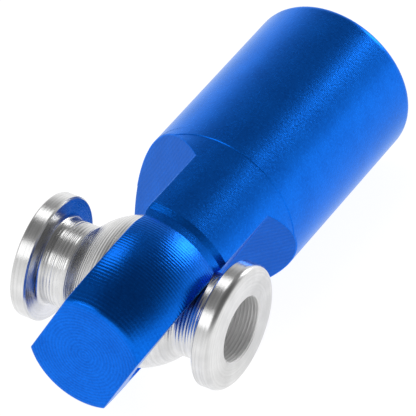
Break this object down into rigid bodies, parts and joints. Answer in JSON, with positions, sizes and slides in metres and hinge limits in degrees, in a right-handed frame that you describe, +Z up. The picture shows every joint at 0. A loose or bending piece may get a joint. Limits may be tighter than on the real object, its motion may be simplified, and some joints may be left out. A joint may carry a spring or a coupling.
{
  "type": "ball link rod end",
  "caption": "Blue anodised rod end with a tapped shank and a flat-sided eye that holds a swivelling flanged pivot ball with a through hole.",
  "frame": {"origin": "centre of the pivot ball, on the axis of its through hole", "axes": "+X along the shank, away from the eye; +Z up, with the part lying on its shank and on the near flange's edge; +Y completes the frame, 15.4 degrees from the axis of the pivot ball's hole"},
  "size_m": [0.0217, 0.011, 0.008],
  "materials": {
    "blue_anodised_aluminium": "anodised blue over fine turning and milling marks",
    "bearing_bronze": "plain turned bronze",
    "turned_steel": "bright, with coarse turning grooves"
  },
  "bodies": {
    "shank": {"rod_end_body": "blue_anodised_aluminium"},
    "seat_rings": {"seat_ring_left": "bearing_bronze", "seat_ring_right": "bearing_bronze"},
    "pivot": {"pivot_ball": "turned_steel"}
  },
  "joints": [
    {"name": "ring_turn", "type": "hinge", "parent": "shank", "child": "seat_rings", "pos_m": [0, 0, 0], "axis": [0, 0.7288, 0.6847], "continuous": true},
    {"name": "ball_tilt", "type": "hinge", "parent": "seat_rings", "child": "pivot", "pos_m": [0, 0, 0], "axis": [1, 0, 0], "range_deg": [0, 55.6]}
  ]
}
